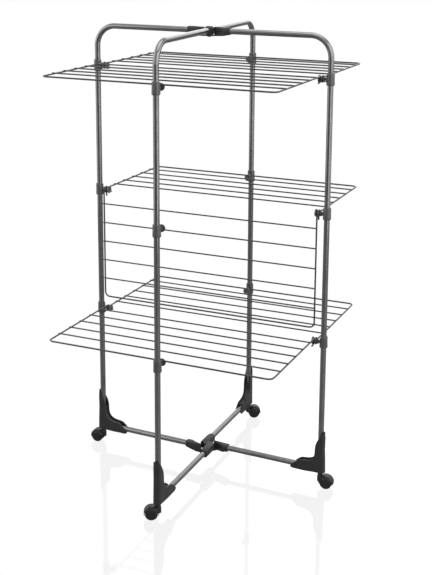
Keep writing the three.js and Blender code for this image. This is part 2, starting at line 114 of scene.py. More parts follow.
# Meshes. A patch is a grid of points, rows by columns, with what closes it.
# Quads join each point to its neighbours; wrap joins the last column to the first, ring the last
# row to the first, and caps fill the first and the last row.
def patch(grid, wrap=True, ring=False, caps=(True, True)):
    grid = np.asarray(grid, float)
    rows, columns = grid.shape[:2]
    index = np.arange(rows * columns).reshape(rows, columns)
    if wrap:
        index = np.concatenate([index, index[:, :1]], 1)
    if ring:
        index = np.concatenate([index, index[:1]], 0)
    quads = np.stack([index[:-1, :-1], index[:-1, 1:], index[1:, 1:], index[1:, :-1]], -1)
    faces = quads.reshape(-1, 4).tolist()
    if not ring:
        faces += [index[0, :columns].tolist()[::-1]] * caps[0]
        faces += [index[rows - 1, :columns].tolist()] * caps[1]
    return grid.reshape(-1, 3), faces


# One mesh object of closed patches, already in metres, riding on a body.
def makePiece(name, patches, body, nodes, material, sharpAngle=35.0, bevel=0.0):
    vertices, faces = [], []
    for points, quads in patches:
        start = sum(len(part) for part in vertices)
        vertices.append(points)
        faces += [[corner + start for corner in face] for face in quads]
    mesh = bpy.data.meshes.new(name)
    mesh.from_pydata(np.concatenate(vertices).tolist(), [], faces)
    work = bmesh.new()
    work.from_mesh(mesh)
    bmesh.ops.remove_doubles(work, verts=work.verts, dist=1e-7)
    bmesh.ops.recalc_face_normals(work, faces=work.faces)
    work.to_mesh(mesh)
    work.free()
    mesh.shade_smooth()
    mesh.set_sharp_from_angle(angle=math.radians(sharpAngle))
    mesh.materials.append(material)
    piece = bpy.data.objects.new(name, mesh)
    bpy.context.scene.collection.objects.link(piece)
    if bevel > 0:
        edge = piece.modifiers.new("softEdges", "BEVEL")
        edge.width = bevel * millimetre
        edge.segments = 2
        edge.limit_method = "ANGLE"
        edge.angle_limit = math.radians(sharpAngle)
        edge.harden_normals = True
    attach(piece, body)
    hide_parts(*nodes)
    return piece


# Radius of the small ring that closes a revolve at its axis.
pole = 0.01


# Rows (s cos a, s sin a, h) for each [s, h] of a profile: a revolve about z.
def turned(profile, sides):
    profile = np.asarray(profile, float)
    angles = np.arange(sides) * 2 * np.pi / sides
    radius, height = profile[:, :1], profile[:, 1:]
    flat = np.ones(sides)
    return np.stack([radius * np.cos(angles), radius * np.sin(angles), height * flat], -1)


# (1 - t)^2 * start + 2 t (1 - t) * middle + t^2 * end.
def quadratic(t, start, middle, end):
    return (1 - t) ** 2 * start + 2 * t * (1 - t) * middle + t ** 2 * end


# Each inner corner of an open [s, h] profile becomes a quadratic curve that starts and ends the
# rounding, or that share of an edge, away from it.
def roundedProfile(profile, rounding, steps=4, edgeShare=0.48):
    points = np.asarray(profile, float)
    out = [points[:1]]
    blend = np.linspace(0, 1, steps + 1)[:, None]
    for before, corner, after in zip(points, points[1:], points[2:]):
        back, ahead = before - corner, after - corner
        backLength, aheadLength = np.linalg.norm(back), np.linalg.norm(ahead)
        size = min(rounding, edgeShare * backLength, edgeShare * aheadLength)
        start = corner + back / backLength * size
        end = corner + ahead / aheadLength * size
        out.append(quadratic(blend, start, corner, end))
    out.append(points[-1:])
    return np.concatenate(out)


# A revolve about z laid along u ("u") or v ("v").
def alongAxis(grid, axis):
    order = [2, 0, 1] if axis == "u" else [1, 2, 0]
    return grid[..., order]


# Rings centre + radius * (cos a * normal + sin a * binormal) at each station of a path.
def tubeRings(centres, normals, binormals, radius, sides):
    angles = np.arange(sides) * 2 * np.pi / sides
    cosines, sines = np.cos(angles)[:, None], np.sin(angles)[:, None]
    across = cosines * normals[:, None] + sines * binormals[:, None]
    return centres[:, None] + radius * across


# centre + cos a * start + sin a * quarter, for evenly spaced a in degrees.
def arcPoints(centre, start, quarter, fromAngle, toAngle, steps):
    angles = np.radians(np.linspace(fromAngle, toAngle, steps + 1))[:, None]
    centre, start, quarter = np.asarray(centre), np.asarray(start), np.asarray(quarter)
    return centre + np.cos(angles) * start + np.sin(angles) * quarter


# The points with one more at each end, as far on as the last step.
def extended(points):
    before, after = 2 * points[:1] - points[1:2], 2 * points[-1:] - points[-2:-1]
    return np.concatenate([before, points, after])


# Unit differences across each station's two neighbours.
def pathTangents(points):
    steps = np.diff(extended(points), axis=0)
    steps /= np.linalg.norm(steps, axis=1, keepdims=True)
    tangents = steps[:-1] + steps[1:]
    return tangents / np.linalg.norm(tangents, axis=1, keepdims=True)


# A Catmull-Rom curve through a list of points, as that many samples in all.
def smoothThrough(points, samples):
    points = np.asarray(points, float)
    padded = extended(points)
    place = np.linspace(0, len(points) - 1, samples)
    at = np.minimum(place.astype(int), len(points) - 2)
    t = (place - at)[:, None]
    a, b, c, d = (padded[at + shift] for shift in range(4))
    return 0.5 * (2 * b + (c - a) * t + (2 * a - 5 * b + 4 * c - d) * t ** 2
                  + (3 * b - a - 3 * c + d) * t ** 3)


# Materials.
# An sRGB hex code as linear red, green, blue and alpha.
def linearColour(code):
    channels = [int(code[i:i + 2], 16) / 255 for i in (0, 2, 4)]
    return [c / 12.92 if c <= 0.04045 else ((c + 0.055) / 1.055) ** 2.4 for c in channels] + [1.0]


# A node with its settings, and links from sockets of other nodes or plain values.
def addNode(tree, kind, settings=None, links=None):
    node = tree.nodes.new(kind)
    for key, value in (settings or {}).items():
        setattr(node, key, value)
    for key, value in (links or {}).items():
        if isinstance(value, bpy.types.NodeSocket):
            tree.links.new(value, node.inputs[key])
        else:
            node.inputs[key].default_value = value
    return node


# What the finishes share: the shares of the wave where the two tones start, the range of the
# grain that the gloss follows, and how deep a full bump is, in metres.
patternLook = {"darkShare": 0.35, "lightShare": 0.65, "grainLow": 0.3, "grainHigh": 0.7,
               "waveDepth": 0.001, "grainDepth": 0.0002, "detail": 2.0, "grainRoughness": 0.6}


# Base colour drifting between two tones with a slow noise wave; a fine noise grain shifts the
# roughness up and down, and bumps the surface on top of the wave's own bump.
def finishMaterial(name, look):
    shared = patternLook
    material = bpy.data.materials.new(name)
    material.use_nodes = True
    tree = material.node_tree
    tree.nodes.clear()
    place = addNode(tree, "ShaderNodeTexCoord").outputs["Object"]
    grain = addNode(tree, "ShaderNodeTexNoise", links={
        "Vector": place, "Scale": 1 / (look["grain"] * millimetre),
        "Detail": shared["detail"], "Roughness": shared["grainRoughness"]})
    wave = addNode(tree, "ShaderNodeTexNoise", links={
        "Vector": place, "Scale": 1 / (look["wave"] * millimetre), "Detail": shared["detail"]})
    tone = addNode(tree, "ShaderNodeValToRGB", links={"Fac": wave.outputs["Fac"]})
    for stop, end in zip(tone.color_ramp.elements, ("dark", "light")):
        stop.position = shared[end + "Share"]
        stop.color = linearColour(look[end + "Tone"])
    gloss = addNode(tree, "ShaderNodeMapRange", links={
        "Value": grain.outputs["Fac"],
        "From Min": shared["grainLow"], "From Max": shared["grainHigh"],
        "To Min": look["roughness"] - look["uneven"],
        "To Max": look["roughness"] + look["uneven"]})
    coarse = addNode(tree, "ShaderNodeBump", links={
        "Height": wave.outputs["Fac"], "Strength": look["waveStrength"],
        "Distance": shared["waveDepth"]})
    fine = addNode(tree, "ShaderNodeBump", links={
        "Height": grain.outputs["Fac"], "Strength": look["grainStrength"],
        "Distance": shared["grainDepth"], "Normal": coarse.outputs["Normal"]})
    shader = addNode(tree, "ShaderNodeBsdfPrincipled", links={
        "Base Color": tone.outputs["Color"], "Roughness": gloss.outputs["Result"],
        "Normal": fine.outputs["Normal"], **look["shader"]})
    addNode(tree, "ShaderNodeOutputMaterial", links={"Surface": shader.outputs["BSDF"]})
    return material


# Anthracite powder coat with a metallic fleck on steel tube: dark where it mirrors a dim
# room, with bright soft stripes from lamps at the sides. Its orange peel is under a millimetre.
powderCoat = finishMaterial("satinPowderCoat", {
    "darkTone": "6a6a6d", "lightTone": "727275", "grain": 0.9, "wave": 40.0,
    "roughness": 0.17, "uneven": 0.01, "grainStrength": 0.01, "waveStrength": 0.004,
    "shader": {"Metallic": 0.85, "IOR": 1.5, "Coat Weight": 0.5, "Coat Roughness": 0.08}})
# The same coat sprayed thin on drawn wire, its colour darkened as painted shade for the tight
# curve it wraps.
wireCoatWithPaintedShade = finishMaterial("coatedWirePaintedShade", {
    "darkTone": "28282b", "lightTone": "303033", "grain": 0.7, "wave": 55.0,
    "roughness": 0.36, "uneven": 0.04, "grainStrength": 0.1, "waveStrength": 0.02,
    "shader": {"Metallic": 0.15, "IOR": 1.5, "Coat Weight": 0.2, "Coat Roughness": 0.3}})
# Spark-textured polypropylene from the mould: near-black, with a dull sheen on its edges.
mouldedPlastic = finishMaterial("texturedPolypropylene", {
    "darkTone": "242426", "lightTone": "2a2a2c", "grain": 0.6, "wave": 30.0,
    "roughness": 0.48, "uneven": 0.06, "grainStrength": 0.35, "waveStrength": 0.05,
    "shader": {"Metallic": 0.0, "IOR": 1.49, "Specular IOR Level": 0.35}})
# The clips' softer satin moulding, a tone lighter than the brackets.
clipPlastic = finishMaterial("satinPolypropylene", {
    "darkTone": "3e3e40", "lightTone": "464648", "grain": 0.8, "wave": 25.0,
    "roughness": 0.4, "uneven": 0.04, "grainStrength": 0.1, "waveStrength": 0.03,
    "shader": {"Metallic": 0.0, "IOR": 1.49, "Coat Weight": 0.3, "Coat Roughness": 0.3}})
# Polished-mould nylon of the casters: blacker and smoother, scuffed a little where it rolls.
casterNylon = finishMaterial("casterNylon", {
    "darkTone": "1c1c1e", "lightTone": "222224", "grain": 1.2, "wave": 18.0,
    "roughness": 0.34, "uneven": 0.04, "grainStrength": 0.06, "waveStrength": 0.03,
    "shader": {"Metallic": 0.0, "IOR": 1.53, "Specular IOR Level": 0.3}})
# Bright zinc on turned steel: pale grey with a slight bloom.
zincPlate = finishMaterial("zincPlatedSteel", {
    "darkTone": "9a9a9c", "lightTone": "aeaeb0", "grain": 0.8, "wave": 12.0,
    "roughness": 0.32, "uneven": 0.05, "grainStrength": 0.1, "waveStrength": 0.03,
    "shader": {"Metallic": 1.0}})
print("materials made")


# Arch tubes: leg, bend and half of the top bar in one, and the base bar.
tubeLook = {"diameter": 19.0, "bendRadius": 68.0, "sides": 40, "bendSteps": 20}
# The middles of the top bars and of the base bars.
topHeight = middleHeight("top_block")
baseHeight = middleHeight("base_tube_left")


# A circle carried up the leg, round a quarter circle and along the top bar.
def archTube(leg):
    foot, inward = legs[leg]
    low, high = localBox(f"frame_tube_{leg}", foot, inward)
    radius, bend = tubeLook["diameter"] / 2, tubeLook["bendRadius"]
    centre = [bend, 0, topHeight - bend]
    turn = arcPoints(centre, [-bend, 0, 0], [0, 0, bend], 0, 90, tubeLook["bendSteps"])
    path = np.concatenate([[[0, 0, low[2]]], turn, [[high[0], 0, topHeight]]])
    tangents = pathTangents(path)
    tangents[0], tangents[-1] = [0, 0, 1], [1, 0, 0]
    sideways = np.broadcast_to(acrossArch, path.shape)
    rings = tubeRings(path, sideways, np.cross(tangents, sideways), radius, tubeLook["sides"])
    return makePiece(f"smoothArch_{leg}", [patch(placeAt(rings, foot, inward))], archBodies[leg],
                     [f"frame_tube_{leg}"], powderCoat)


def baseTube(leg):
    foot, inward = bars[leg]
    low, high = localBox(f"base_tube_{leg}", foot, inward)
    path = np.array([[low[0], 0, baseHeight], [high[0], 0, baseHeight]])
    sideways = np.broadcast_to(acrossArch, path.shape)
    upright = np.broadcast_to(up, path.shape)
    rings = tubeRings(path, sideways, upright, tubeLook["diameter"] / 2, tubeLook["sides"])
    return makePiece(f"smoothBase_{leg}", [patch(placeAt(rings, foot, inward))], archBodies[leg],
                     [f"base_tube_{leg}"], powderCoat)


for leg in legs:
    archTube(leg)
    baseTube(leg)
print("tubes made")


# Wings: one bent rod with a hook at each end, and straight wires welded across it.
# inset is from the CAD wing's side to its side rod's middle, endInset from the rod's outer side to
# where a wire's round tip starts, and sink how far a wire is pressed into the rod it crosses.
wingLook = {"rod": 5.5, "wire": 4.9, "spacing": 68.0, "wires": 5, "corner": 18.0, "inset": 5.5,
            "endInset": 0.6, "sink": 2.6, "hookTail": 25.0, "hookFlare": 4.0,
            "rodSides": 16, "wireSides": 12, "hookSteps": 16, "cornerSteps": 10}
weldLook = {"length": 5.8, "width": 5.4, "height": 2.6, "poleAngle": 82.8, "rows": 7, "sides": 12}
# The CAD's rod has eight sides, and its box meets their flats.
cadRodFlat = math.cos(math.pi / 8)


# Stations of the bent rod from one hook tail to the other, with the direction square to the bend
# at each and the ring's starting turn, so that no ring is twisted.
def wingOutline(half, depth, hook, look):
    corner, reach = look["corner"], half - look["corner"]
    tail = np.array([-half, -look["hookTail"], -hook - look["hookFlare"]])
    hookArc = arcPoints([-half, 0, 0], [0, 0, -hook], [0, hook, 0], 0, 180, look["hookSteps"])
    bend = arcPoints([-reach, corner - depth, hook], [-corner, 0, 0], [0, -corner, 0],
                     0, 90, look["cornerSteps"])
    leftPath = np.concatenate([[tail], hookArc, bend])
    hooked = np.arange(len(leftPath)) <= len(hookArc)
    rightPath = leftPath[::-1] * [-1, 1, 1]
    path = np.concatenate([leftPath, rightPath])
    hooked = np.concatenate([hooked, hooked[::-1]])
    normals = np.where(hooked[:, None], [1.0, 0.0, 0.0], [0.0, 0.0, 1.0])
    quarter = np.concatenate([np.full(len(leftPath), 1), np.full(len(rightPath), -1)])
    return path, normals, np.where(hooked, quarter, 0)


# Rings square to the path; a ring's points are counted from a quarter turn on where the plane of
# the bend changes, and its end rings draw in to a rounded tip.
def rodSurface(path, normals, quarters, radius, sides):
    tangents = pathTangents(path)
    rings = tubeRings(path, normals, np.cross(tangents, normals), radius, sides)
    shifts = (np.arange(sides)[None, :] + quarters[:, None] * sides // 4) % sides
    rings = np.take_along_axis(rings, shifts[..., None], 1)
    return roundedEnds(rings, path, tangents, radius)


# Adds rings centre +/- bulge * radius * sin a * tangent, drawn in by cos a, past both ends.
def roundedEnds(rings, path, tangents, radius, steps=3, bulge=0.5, lastAngle=81.0):
    angles = np.radians(np.linspace(0, lastAngle, steps + 1))[1:, None, None]
    tips = []
    for end, sign in ((0, -1), (-1, 1)):
        along = sign * bulge * radius * np.sin(angles) * tangents[end]
        tips.append(path[end] + (rings[end] - path[end]) * np.cos(angles) + along)
    return np.concatenate([tips[0][::-1], rings, tips[1]])


# The wing is made raised toward -v, then turned about its hinge to where it is stored.
def wing(side, level):
    node = f"wing_{side}_{level}"
    look = wingLook
    hinge = np.array(wingJoint(side, level)["pos_m"])
    along = np.array([1.0, 0.0, 0.0]) * (1 if side == "front" else -1)
    hanging = (side, level) == hangingWing
    low, high = localBox(node, hinge, along)
    middle = (low[0] + high[0]) / 2
    half = (high[0] - low[0]) / 2 - look["inset"]
    reachOut = -low[2] if hanging else -low[1]
    depth = reachOut - look["rod"] / 2 * cadRodFlat
    hook = spoolLook["shaft"] / 2 + look["rod"] / 2 + spoolLook["play"]
    path, normals, quarters = wingOutline(half, depth, hook, look)
    parts = [rodSurface(path, normals, quarters, look["rod"] / 2, look["rodSides"])]
    rise = hook + look["rod"] / 2 + look["wire"] / 2 - look["sink"]
    wireEnd = half + look["rod"] / 2 - look["endInset"]
    for n in range(look["wires"]):
        y = (n + 1) * look["spacing"] - depth
        wirePath = np.array([[-wireEnd, y, rise], [wireEnd, y, rise]])
        flat = np.broadcast_to(acrossArch, wirePath.shape)
        parts.append(rodSurface(wirePath, flat, np.zeros(2, int), look["wire"] / 2,
                                look["wireSides"]))
        for sign in (-1, 1):
            parts.append(weldBead([sign * half, y, hook + look["rod"] / 2]))
    turnBack = Matrix.Rotation(math.radians(90 if hanging else 0), 3, "X")
    patches = []
    for grid in parts:
        points = grid @ np.array(turnBack).T + [middle, 0, 0]
        patches.append(patch(placeAt(points, hinge, along)))
    return makePiece(f"wireWing_{side}_{level}", patches, node, [node], wireCoatWithPaintedShade)


# A flattened ball of melted metal round a crossing: ellipse rows shrinking to both poles.
def weldBead(centre):
    look = weldLook
    angles = np.radians(np.linspace(-look["poleAngle"], look["poleAngle"], look["rows"]))
    rows = turned(np.stack([np.cos(angles), np.sin(angles)], -1), look["sides"])
    return rows * [look["length"] / 2, look["width"] / 2, look["height"] / 2] + centre


# Clips: a sleeve on the leg, and a spool that the wings hook on or rest on.
sleeveLook = {"radius": 13.0, "belly": 0.6, "taper": 1.0, "flare": 2.5, "bore": 9.8,
              "scallop": 9.0, "scallopStart": 0.2, "rounding": 1.4, "sides": 16}
spoolLook = {"shaft": 9.0, "rim": 25.0, "play": 0.3, "rounding": 1.0, "sides": 40,
             "rootFlange": 13.5, "rootStart": 11.0, "rootDepth": 1.6, "rootTaper": 0.8,
             "faceRim": 3.0, "dishRim": 4.5, "dish": 1.2}
# Each flange's start along u and its thickness.
hookFlanges = [(24.5, 3.0), (35.5, 4.0)]
restFlanges = [(32.8, 4.7)]


# A closed wall profile turned about the leg; its top dips by scallop * cos^2 a toward the spool,
# less and less down to its start, a share of the half height above the middle.
def sleeve(height):
    look = sleeveLook
    half = height / 2
    outer = roundedProfile([
        [look["bore"], -half], [look["radius"] - look["taper"], -half],
        [look["radius"] + look["belly"], look["flare"] - half], [look["radius"], 0],
        [look["radius"], half], [look["bore"], half]], look["rounding"])
    grid = turned(outer, look["sides"])
    toward = np.maximum(0, np.cos(np.arange(look["sides"]) * 2 * np.pi / look["sides"]))
    start = half * look["scallopStart"]
    share = np.clip((grid[..., 2] - start) / (half - start), 0, 1)
    grid[..., 2] -= look["scallop"] * toward ** 2 * share
    return patch(grid, ring=True)


# A shaft with rounded flanges, and a dish in the end face, turned about u.
def spool(flanges):
    look = spoolLook
    shaft, rim = look["shaft"] / 2, look["rim"] / 2
    root, rootStart = look["rootFlange"] / 2, look["rootStart"]
    rootEnd = sleeveLook["radius"] + look["rootDepth"]
    profile = [[pole, rootStart], [root, rootStart], [root, rootEnd],
               [shaft, rootEnd + look["rootTaper"]]]
    for start, thickness in flanges:
        top = start + thickness
        profile += [[shaft, start], [rim, start], [rim, top], [shaft, top]]
    end = flanges[-1][0] + flanges[-1][1]
    profile[-1] = [rim - look["faceRim"], end]
    profile += [[rim - look["dishRim"], end - look["dish"]], [pole, end - look["dish"]]]
    grid = turned(roundedProfile(profile, look["rounding"]), look["sides"])
    return patch(alongAxis(grid, "u"))


def clip(leg, level):
    foot, inward = legs[leg]
    node = f"clip_{leg}_{level}"
    low, high = localBox(node, foot, inward)
    height = wingJoint("front", level)["pos_m"][2] / millimetre
    flanges = hookFlanges if archBodies[leg] == "frame_a" else restFlanges
    patches = []
    for points, faces in (sleeve(high[2] - low[2]), spool(flanges)):
        patches.append((placeAt(points, foot, inward, height), faces))
    return makePiece(f"clip_{leg}_{level}_moulding", patches, archBodies[leg], [node],
                     clipPlastic)


for level in levelNames:
    for leg in legs:
        clip(leg, level)
    for side in wingSides:
        wing(side, level)
print("wings and clips made")


# Corner brackets: a folded shell round the back of the leg with an open channel and a web.
bracketLook = {"halfWidth": 13.0, "wall": 3.2, "corner": 9.0, "innerCorner": 0.4,
               "underside": -12.0, "stepRise": 7.0, "floor": 3.0, "floorReach": 90.0,
               "floorRear": 17.0, "floorInset": 0.3, "web": 2.4, "webSamples": 40,
               "rows": 70, "arcSteps": 14, "bevel": 0.5}
# Points (u, z) of the inner edge, from the end on the bar up to the tip on the leg, and of the
# web inside it.
bracketEdge = [[96, -12], [103, -9.5], [105, -6], [100, 0], [92, 7], [84, 14], [75, 20],
               [66, 22.4], [55, 23.6], [44, 25.2], [35, 28.6], [27, 34], [21, 42], [18, 52],
               [17, 64], [16.4, 76], [14.4, 88], [10, 100], [3, 112], [-4.5, 124],
               [-11, 133], [-13, 136]]
webCurve = [[12.4, 74], [12.6, 62], [13.6, 50], [16.6, 40], [22, 31], [30, 24.6], [40, 20.6],
            [52, 18.4], [64, 17], [74, 12]]
# How far behind the leg's middle the back lies at each height.
backCurve = {"heights": [-12, 30, 72, 110, 136], "reach": [17.5, 16.4, 14.6, 15.4, 13.6]}


# How far the underside lies below its own level along u: a low step on each plate.
stepCurve = {"places": [35, 41, 63, 65, 87, 93], "drop": [0, -2, -2, 0, 0, -1.6]}


def stepUnder(u):
    return np.interp(u, stepCurve["places"], stepCurve["drop"])


# For each point (u, z) of the edge a U-shaped section at height z: the half width at a place u is
# the full one, drawn in behind the leg as sqrt(1 - t^2).
def bracketShell(look):
    edge = smoothThrough(bracketEdge, look["rows"])
    heights = edge[:, 1]
    back = np.interp(heights, backCurve["heights"], backCurve["reach"])
    share = np.linspace(0, 1, look["arcSteps"]) ** 2
    nearUnderside = (look["underside"] - heights[:, None]) / look["stepRise"] + 1
    walls = []
    for inset in (0.0, look["wall"]):
        rear = back - inset
        half = look["halfWidth"] - inset
        corner = look["corner"] - inset * look["innerCorner"]
        u = -rear[:, None] + (edge[:, :1] + rear[:, None]) * share[None, :]
        behind = np.clip((-rear[:, None] + corner - u) / corner, 0, 1)
        v = half * np.sqrt(1 - behind ** 2)
        z = heights[:, None] + stepUnder(u) * np.clip(nearUnderside, 0, 1)
        near = np.stack([u, -v, z], -1)[:, ::-1]
        far = np.stack([u, v, z], -1)[:, 1:]
        walls.append(np.concatenate([near, far], 1))
    return patch(np.concatenate([walls[0], walls[1][:, ::-1]], 1))


# The section's outline at the underside, filled and given a thickness.
def bracketFloor(look):
    reach, rear, corner = look["floorReach"], look["floorRear"], look["corner"]
    half = look["halfWidth"] - look["floorInset"]
    u = -rear + (reach + rear) * np.linspace(0, 1, look["arcSteps"]) ** 2
    v = half * np.sqrt(1 - np.clip((corner - rear - u) / corner, 0, 1) ** 2)
    loop = np.concatenate([np.stack([u, -v], -1)[::-1], np.stack([u, v], -1)[1:]])
    bottom = look["underside"] + stepUnder(loop[:, 0])
    rows = [np.column_stack([loop, bottom + rise]) for rise in (0.0, look["floor"])]
    return patch(np.stack(rows))


# The web's thick curve in the plane of the arch, carried from plate to plate.
def bracketWeb(look):
    curve = smoothThrough(webCurve, look["webSamples"])
    slope = np.gradient(curve, axis=0)
    outward = np.stack([slope[:, 1], -slope[:, 0]], -1)
    outward /= np.linalg.norm(outward, axis=1, keepdims=True)
    loop = np.concatenate([curve, (curve + outward * look["web"])[::-1]])
    reach = look["halfWidth"] - look["wall"] / 2
    rows = [np.insert(loop, 1, v, axis=1) for v in (-reach, reach)]
    return patch(np.stack(rows))


def bracket(leg):
    foot, inward = bars[leg]
    patches = []
    for part in (bracketShell, bracketFloor, bracketWeb):
        points, faces = part(bracketLook)
        patches.append((placeAt(points, foot, inward, baseHeight), faces))
    return makePiece(f"cornerBracket_{leg}", patches, archBodies[leg], [f"bracket_{leg}"],
                     mouldedPlastic, bevel=bracketLook["bevel"])


for leg in legs:
    bracket(leg)
print("brackets made")


# Couplings at the pivots.
couplingLook = {"half": 12.0, "bore": 9.7, "reach": 74.0, "socketEnd": 57.3, "tubeStart": 60.5,
                "web": 9.0, "chamfer": 5.0, "collar": 4.0, "play": 0.5, "plateInset": 0.5,
                "sagRows": 30, "lowerShare": 0.6, "bevel": 0.6}
# A socket's mouth: how far the lip stands out, and the sizes of its rim and of the lead-in.
lipLook = {"rise": 0.4, "rim": 0.97, "lead": 1.03}
# The arches' angle to each other when the tower is folded.
foldedAngle = math.radians(27.7)


# Each station (u, vLow, vHigh, zLow, zHigh, r) gives a rectangle with corners of radius r, of
# which the lower ones may be smaller by a share.
def roundedBar(stations, steps=5, lowerShare=1.0):
    table = np.asarray(stations, float)
    u, vLow, vHigh, zLow, zHigh, size = (table[:, i:i + 1] for i in range(6))
    corners = []
    quarters = [(vHigh, zHigh, 1, 1, 0), (vLow, zHigh, -1, 1, 90),
                (vLow, zLow, -1, -1, 180), (vHigh, zLow, 1, -1, 270)]
    for vEdge, zEdge, vSign, zSign, start in quarters:
        angles = np.radians(np.linspace(start, start + 90, steps))[None, :]
        radius = size * (1 if zSign > 0 else lowerShare)
        v = vEdge - vSign * radius + radius * np.cos(angles)
        z = zEdge - zSign * radius + radius * np.sin(angles)
        corners.append(np.stack([np.broadcast_to(u, v.shape), v, z], -1))
    return np.concatenate(corners, 1)


# Adds to a bar that ends at its mouth the turn over the rim and the bore, whose points lie at the
# same angles as the bar's own, back to the bore's end.
def socketEnd(bar, mouth, depth, bore):
    last = bar[-1]
    angles = np.arctan2(last[:, 2], last[:, 1])
    ring = np.stack([np.zeros_like(angles), bore * np.cos(angles), bore * np.sin(angles)], -1)
    lip = [mouth + lipLook["rise"], 0, 0]
    rim = last * [0, 1, 1] * lipLook["rim"] + lip
    lead = ring * lipLook["lead"] + lip
    rows = [rim, lead, ring + [mouth, 0, 0], ring + [mouth - depth, 0, 0]]
    return np.concatenate([bar, np.stack(rows)])


# A grid of points and the same half a turn round the pivot.
def bothWays(grid):
    return [patch(grid), patch(grid * [-1, -1, 1])]


# One arm of a bridge coupling: a socket block beside the pivot by the offset, narrowing to a web
# that ends on the slant along the folded arch. Its underside sags on a quadratic curve.
def bridgeArm(look, openSide, offset, bottom):
    half, solid, reach, chamfer = (
        look["half"], look["socketEnd"], look["reach"], look["chamfer"])
    inner = half - look["web"]
    cosine, sine = math.cos(foldedAngle), math.sin(foldedAngle)
    slantStart = (offset + openSide - (offset + inner) * cosine) / sine
    slantEnd = (offset + openSide - openSide * sine) / cosine - offset
    # Each section: its u, the v of its slanting side, and its corners' radius.
    sections = [
        (openSide, slantEnd, 0.8), (openSide + 0.6, slantEnd - 0.5, 1.2),
        (slantStart, inner, 1.6), (slantStart + 5, inner, 1.8),
        ((slantStart + solid) / 2 + 2, (inner - half) / 2 + 1, 2.6),
        (solid, -half, chamfer), (reach - 5, -half, chamfer),
        (reach - 0.6, -half, chamfer), (reach, 0.4 - half, chamfer)]
    t = np.linspace(0, 1, look["sagRows"])
    sagAlong = quadratic(t, openSide, solid - openSide / 2, reach - look["collar"])
    sags = np.interp([u for u, _, _ in sections], sagAlong, quadratic(t, bottom, bottom, -half))
    stations = [[u, vLow, half, zLow, half, radius]
                for (u, vLow, radius), zLow in zip(sections, sags)]
    bar = roundedBar(stations, steps=3)
    arm = socketEnd(bar, reach, reach - look["tubeStart"], look["bore"]) + [0, offset, 0]
    return arm, slantStart


# The patches of a coupling placed at the pivot, as one piece.
def couplingPiece(name, node, body, direction, height, parts):
    patches = [(placeAt(points, pivot, direction, height), faces) for points, faces in parts]
    return makePiece(name, patches, body, [node], mouldedPlastic,
                     bevel=couplingLook["bevel"])


# Two arms and the plate under the pivot that joins them; turning is the width of the coupling
# that turns above the plate.
def bridgeCoupling(name, node, direction, height, look):
    half = couplingLook["half"]
    openSide = look["turning"] / 2 + couplingLook["play"]
    bottom = -look["bridgeTop"] - look["bridge"]
    arm, slantStart = bridgeArm(couplingLook, openSide, look["offset"], bottom)
    edge = look["offset"] + half - couplingLook["plateInset"]
    # Three of the plate's corners, and the same half a turn on.
    plan = np.array([[slantStart + half, edge], [openSide, edge], [-openSide, openSide - half]])
    plan = np.concatenate([plan, -plan])
    plate = np.stack([np.insert(plan, 2, z, axis=1) for z in (bottom, -look["bridgeTop"])])
    return couplingPiece(name, node, "frame_a", direction, height,
                         bothWays(arm) + [patch(plate)])


# Arms with sockets at their mouths, the same both ways from the pivot, and what joins them.
def turningCoupling(name, node, direction, height, look, extra=()):
    stations = look["stations"]
    bar = roundedBar(stations, look["steps"], couplingLook["lowerShare"])
    arm = socketEnd(bar, stations[-1][0], look["depth"], couplingLook["bore"])
    return couplingPiece(name, node, "frame_b", direction, height,
                         bothWays(arm + [0, look["offset"], 0]) + list(extra))


# The stations are roundedBar's.
topBridgeLook = {"turning": 26.0, "offset": 0.0, "bridgeTop": 14.3, "bridge": 4.0}
baseBridgeLook = {"turning": 25.0, "offset": hubOffset, "bridgeTop": 14.0, "bridge": 6.0}
topBlockLook = {"offset": 0.0, "depth": 11.0, "steps": 2, "stations": [
    [0, -13, 13, -14, 14, 4.5], [7, -13, 13, -14, 14, 4.5],
    [17, -10.6, 10.6, -11.0, 11.0, 4.6]]}
baseCrossLook = {"offset": hubOffset, "depth": 46.0, "steps": 4, "stations": [
    [-4, -12, 12, -12, 12, 4.0], [-3, -12.5, 12.5, -12.5, 12.5, 4.5],
    [56, -12.5, 12.5, -12.5, 12.5, 4.5], [61, -12, 12, -12, 12, 7.0],
    [62, -13.6, 13.6, -13.6, 13.6, 12.0], [66, -13.6, 13.6, -13.6, 13.6, 12.0]]}
# The cross's hub and the boss under it, as (radius, height) profiles.
hubLook = {"barrel": [[pole, -12.2], [13.6, -12.2], [13.6, 12.0], [pole, 12.0]],
           "rounding": 1.5, "barrelSides": 48,
           "boss": [[pole, -13.7], [9, -13.7], [9, -11], [pole, -11]], "bossSides": 32}
bridgeCoupling("topCoupling", "top_coupling", archDirections["frame_a"], topHeight, topBridgeLook)
bridgeCoupling("baseCoupling", "base_coupling", hubDirections["frame_a"], baseHeight,
               baseBridgeLook)
turningCoupling("topBlock", "top_block", archDirections["frame_b"], topHeight, topBlockLook)
barrelProfile = roundedProfile(hubLook["barrel"], hubLook["rounding"])
hub = [patch(turned(barrelProfile, hubLook["barrelSides"])),
       patch(turned(hubLook["boss"], hubLook["bossSides"]))]
turningCoupling("baseCross", "base_cross", hubDirections["frame_b"], baseHeight, baseCrossLook,
                hub)
print("couplings made")


# Casters.
casterLook = {"wheelRadius": 21.0, "wheelInner": 5.0, "wheelWidth": 12.0, "wheelRounding": 0.5,
              "hood": 25.0, "hoodWall": 2.5, "hoodHalf": 14.0, "hoodEdge": 0.6, "hoodPower": 6,
              "hoodFrom": -12.0, "hoodTo": 192.0, "hoodRows": 40, "hoodColumns": 15,
              "fork": 9.0, "forkOverlap": 0.5, "forkFoot": 6.0, "forkSteps": 30, "footSteps": 12,
              "neck": 8.5, "collar": 10.0, "collarTop": 38.0, "neckStart": 43.0,
              "neckRounding": 1.5, "neckSides": 32, "sides": 56, "bevel": 0.4}
